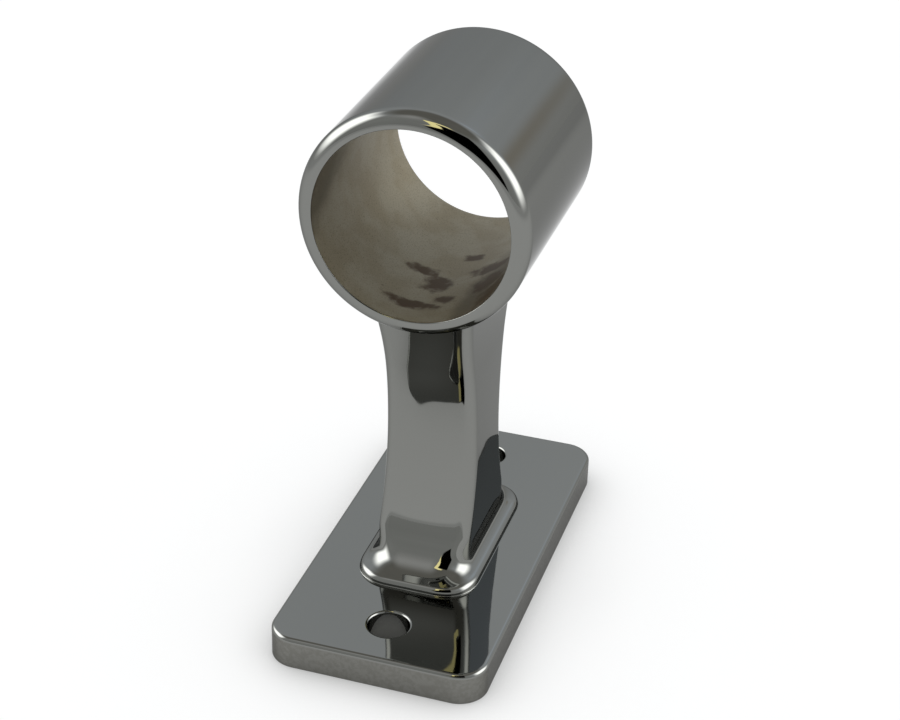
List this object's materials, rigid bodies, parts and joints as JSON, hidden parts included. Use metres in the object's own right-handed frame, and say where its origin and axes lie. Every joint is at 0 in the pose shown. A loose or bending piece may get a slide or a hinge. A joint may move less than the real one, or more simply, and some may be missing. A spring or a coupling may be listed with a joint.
{
  "type": "handrail bracket",
  "caption": "Polished cast bracket: a flat screw-down plate carries a waisted stem and an open round collar that a handrail tube slides through.",
  "frame": {"origin": "middle of the plate's flat mounting face", "axes": "+Z away from the mounting face towards the collar, +Y along the rail and the plate's long side, +X across the rail"},
  "size_m": [0.0384, 0.0762, 0.0954],
  "materials": {
    "polished_metal": "mirror polished, with a satin machined bore"
  },
  "bodies": {
    "root": {"bracket_body": "polished_metal"}
  },
  "joints": []
}
